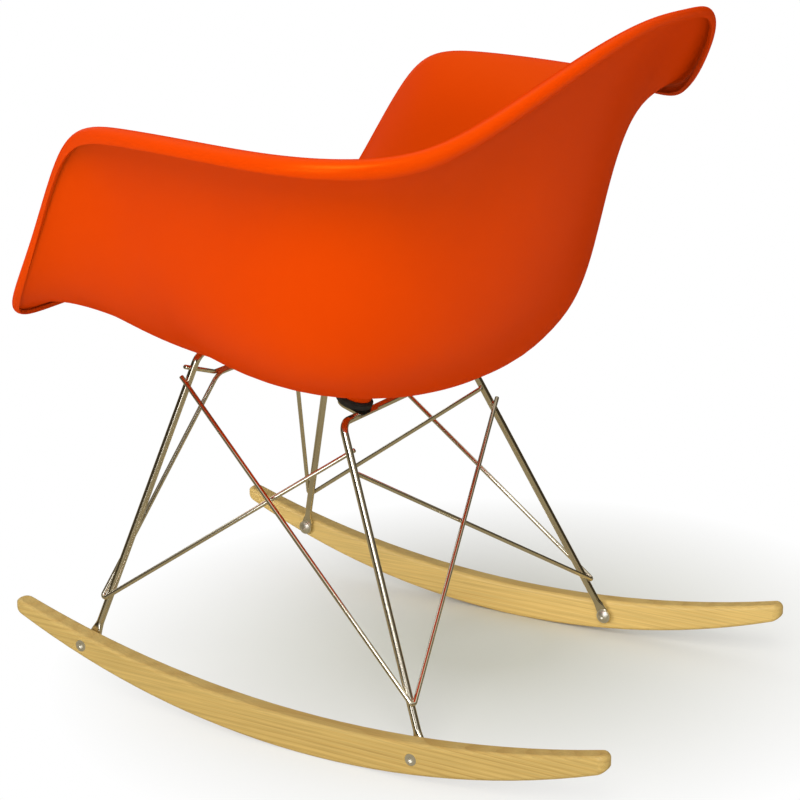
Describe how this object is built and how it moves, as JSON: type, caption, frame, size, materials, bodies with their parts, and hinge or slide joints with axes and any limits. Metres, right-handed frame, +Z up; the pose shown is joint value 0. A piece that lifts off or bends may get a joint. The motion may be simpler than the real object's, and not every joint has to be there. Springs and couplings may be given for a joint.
{
  "type": "rocking armchair",
  "caption": "Rocking armchair: a one-piece moulded plastic bucket seat with arms, on a bent and welded wire base with two curved wooden runners.",
  "frame": {"origin": "on the floor, under the middle of the chair's outer box", "axes": "+Z up, -Y towards the front edge of the seat, +X to the sitter's left"},
  "size_m": [0.6673, 0.652, 0.6863],
  "materials": {
    "shell": "satin orange-red plastic, coloured through",
    "chrome": "bright plated steel wire",
    "wood": "pale solid wood, clear matt varnish, grain along the runner",
    "rubber": "black moulded rubber",
    "steel": "zinc plated",
    "brass": "plain turned"
  },
  "bodies": {
    "root": {"seat_shell": "shell", "front_hoop": "chrome", "rear_hoop": "chrome", "rocker_left": "wood", "strut_front_left": "chrome", "strut_rear_left": "chrome", "rocker_right": "wood", "strut_front_right": "chrome", "strut_rear_right": "chrome", "foot_bolt_front_left": "steel", "foot_washer_front_left": "steel", "sleeve_nut_front_left": "steel", "mount_tab_front_left": "chrome", "shock_mount_front_left": "rubber", "shell_screw_front_left": "steel", "insert_front_left": "brass", "foot_bolt_front_right": "steel", "foot_washer_front_right": "steel", "sleeve_nut_front_right": "steel", "mount_tab_front_right": "chrome", "shock_mount_front_right": "rubber", "shell_screw_front_right": "steel", "insert_front_right": "brass", "foot_bolt_rear_left": "steel", "foot_washer_rear_left": "steel", "sleeve_nut_rear_left": "steel", "mount_tab_rear_left": "chrome", "shock_mount_rear_left": "rubber", "shell_screw_rear_left": "steel", "insert_rear_left": "brass", "foot_bolt_rear_right": "steel", "foot_washer_rear_right": "steel", "sleeve_nut_rear_right": "steel", "mount_tab_rear_right": "chrome", "shock_mount_rear_right": "rubber", "shell_screw_rear_right": "steel", "insert_rear_right": "brass"}
  },
  "joints": []
}
